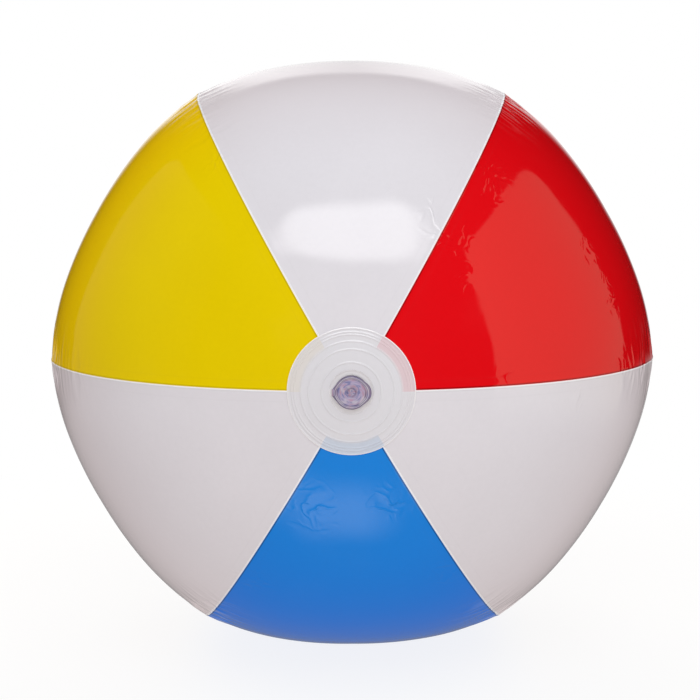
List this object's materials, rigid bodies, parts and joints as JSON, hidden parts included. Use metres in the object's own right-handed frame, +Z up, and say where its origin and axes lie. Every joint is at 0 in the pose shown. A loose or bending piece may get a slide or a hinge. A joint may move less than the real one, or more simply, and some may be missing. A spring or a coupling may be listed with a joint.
{
  "type": "inflatable beach ball",
  "caption": "Inflatable vinyl beach ball of lens-shaped panels in white and bright colours, with welded end discs and a push-in valve closed by a tethered plug.",
  "frame": {"origin": "centre of the ball, midway between its two poles on the valve's axis", "axes": "-Y out of the valve along the ball's axis; +Z up through the middle of the top white panel; +X towards the seam on the right"},
  "size_m": [0.3322, 0.3265, 0.3234],
  "materials": {
    "film_white": "glossy soft vinyl film",
    "film_red": "glossy soft vinyl film",
    "film_blue": "glossy soft vinyl film",
    "film_yellow": "glossy soft vinyl film",
    "disc_white": "glossy, slightly milky vinyl film",
    "valve_clear": "clear violet-grey soft vinyl"
  },
  "bodies": {
    "ball": {"panel_white_top": "film_white", "panel_red": "film_red", "panel_white_right": "film_white", "panel_blue": "film_blue", "panel_white_left": "film_white", "panel_yellow": "film_yellow", "valve_end_disc": "disc_white", "plain_end_disc": "disc_white", "valve_flange": "valve_clear", "valve_web": "valve_clear"},
    "stem": {"valve_stem": "valve_clear"},
    "plug": {"valve_plug": "valve_clear", "plug_strap": "valve_clear"},
    "flap": {"check_flap": "valve_clear"}
  },
  "joints": [
    {"name": "valve_pop", "type": "slide", "parent": "ball", "child": "stem", "axis": [0, -1, 0], "range_m": [0, 0.02], "deforming": ["valve_web"]},
    {"name": "plug_swing", "type": "hinge", "parent": "stem", "child": "plug", "pos_m": [-0.0084, -0.16312, 0], "axis": [0, 0, -1], "range_deg": [0, 150]},
    {"name": "flap_swing", "type": "hinge", "parent": "stem", "child": "flap", "pos_m": [0, -0.15082, 0.0046], "axis": [1, 0, 0], "range_deg": [0, 70], "stiffness_Nm_per_rad": 0.00001}
  ]
}
